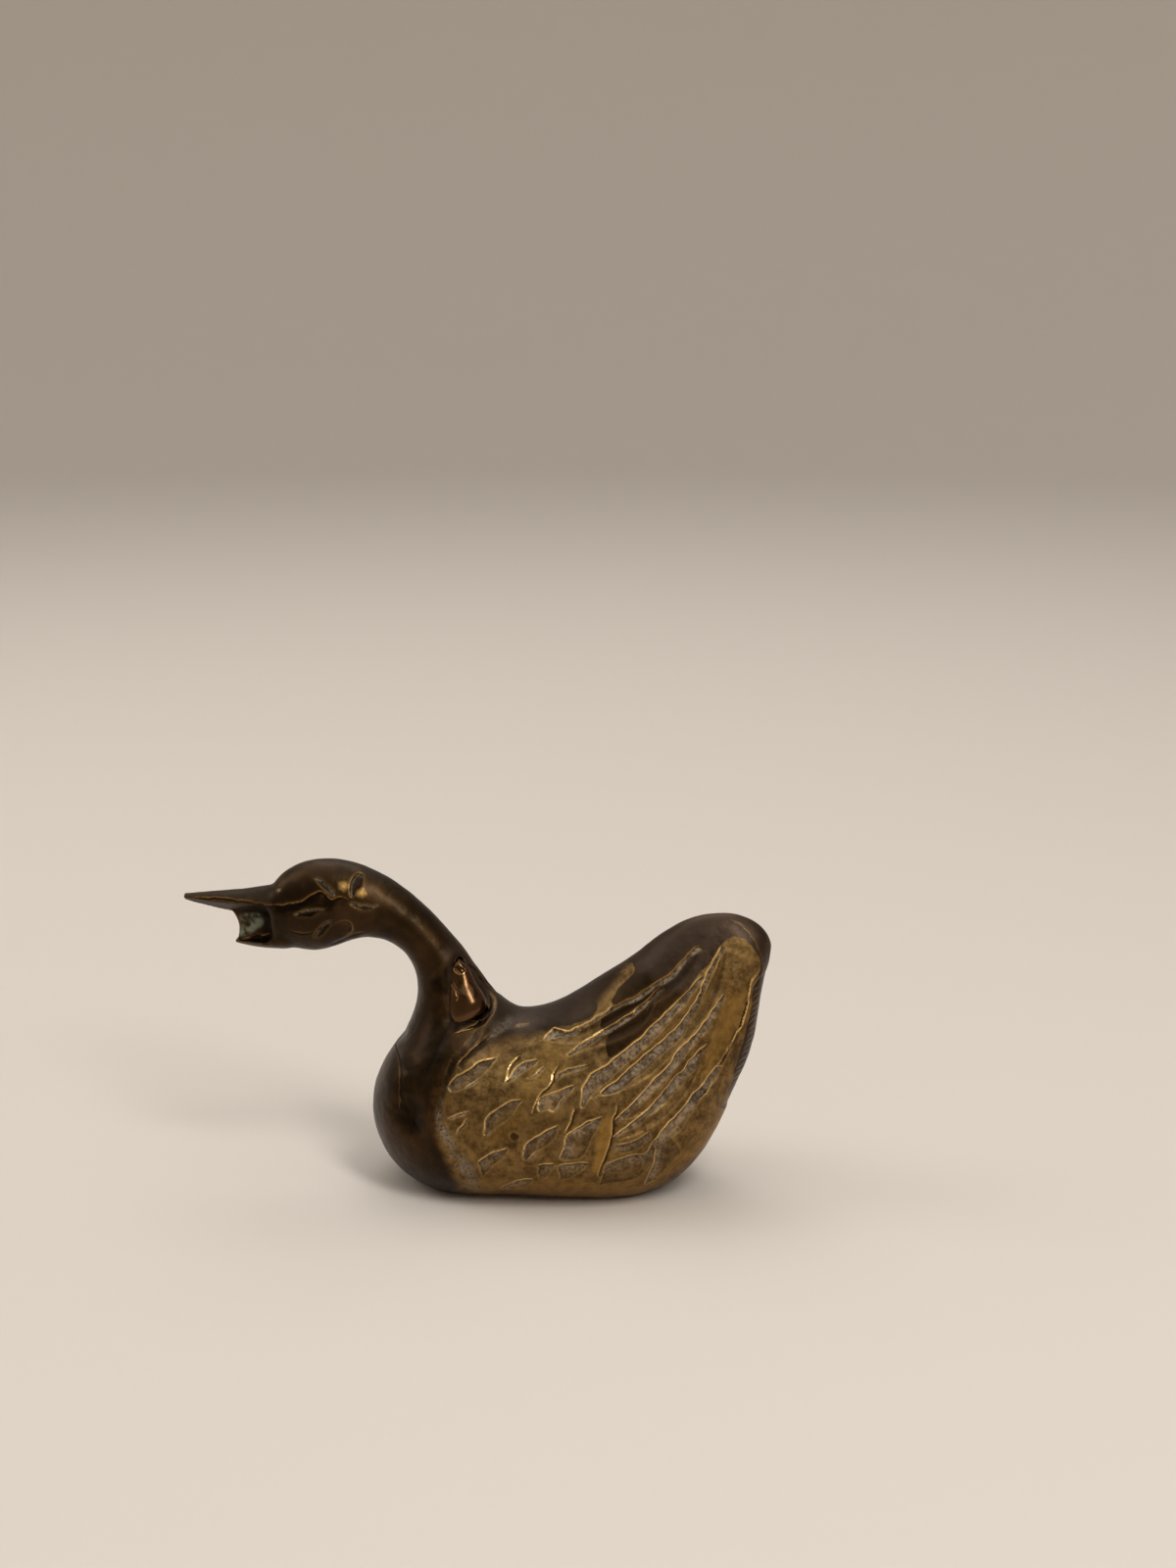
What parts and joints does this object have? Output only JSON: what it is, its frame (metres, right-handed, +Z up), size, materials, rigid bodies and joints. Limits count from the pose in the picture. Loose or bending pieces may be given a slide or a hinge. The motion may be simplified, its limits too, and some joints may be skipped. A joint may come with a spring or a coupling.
{
  "type": "brass duck figurine",
  "caption": "Small cast brass duck with an S-curved neck, open bill, carved folded wings and raised tail, resting on a flat oval foot.",
  "frame": {"origin": "bottom centre of the bounding box, on the plane the duck stands on, midway between the bill's tip and the tail and midway between the flanks", "axes": "+X along the duck's length from head to tail, so it faces -X; +Y across it, towards its right flank; +Z up"},
  "size_m": [0.063, 0.023, 0.0351],
  "materials": {
    "dark_brass": "cast, rubbed smooth, under a dark brown patina",
    "wing_brass": "cast and carved, golden on the worn edges, patina and grey polish residue in the cuts",
    "tail_brass": "cast, hatched, dark patina",
    "boss_brass": "polished, reddish",
    "foot_brass": "filed flat, dull",
    "pin_brass": "ground flush, darker than the wing round it"
  },
  "bodies": {
    "root": {"head_neck_and_breast": "dark_brass", "left_wing_shell": "wing_brass", "right_wing_shell": "wing_brass", "tail": "tail_brass", "left_shoulder_boss": "boss_brass", "right_shoulder_boss": "boss_brass", "base_plate": "foot_brass", "core_pins": "pin_brass"}
  },
  "joints": []
}
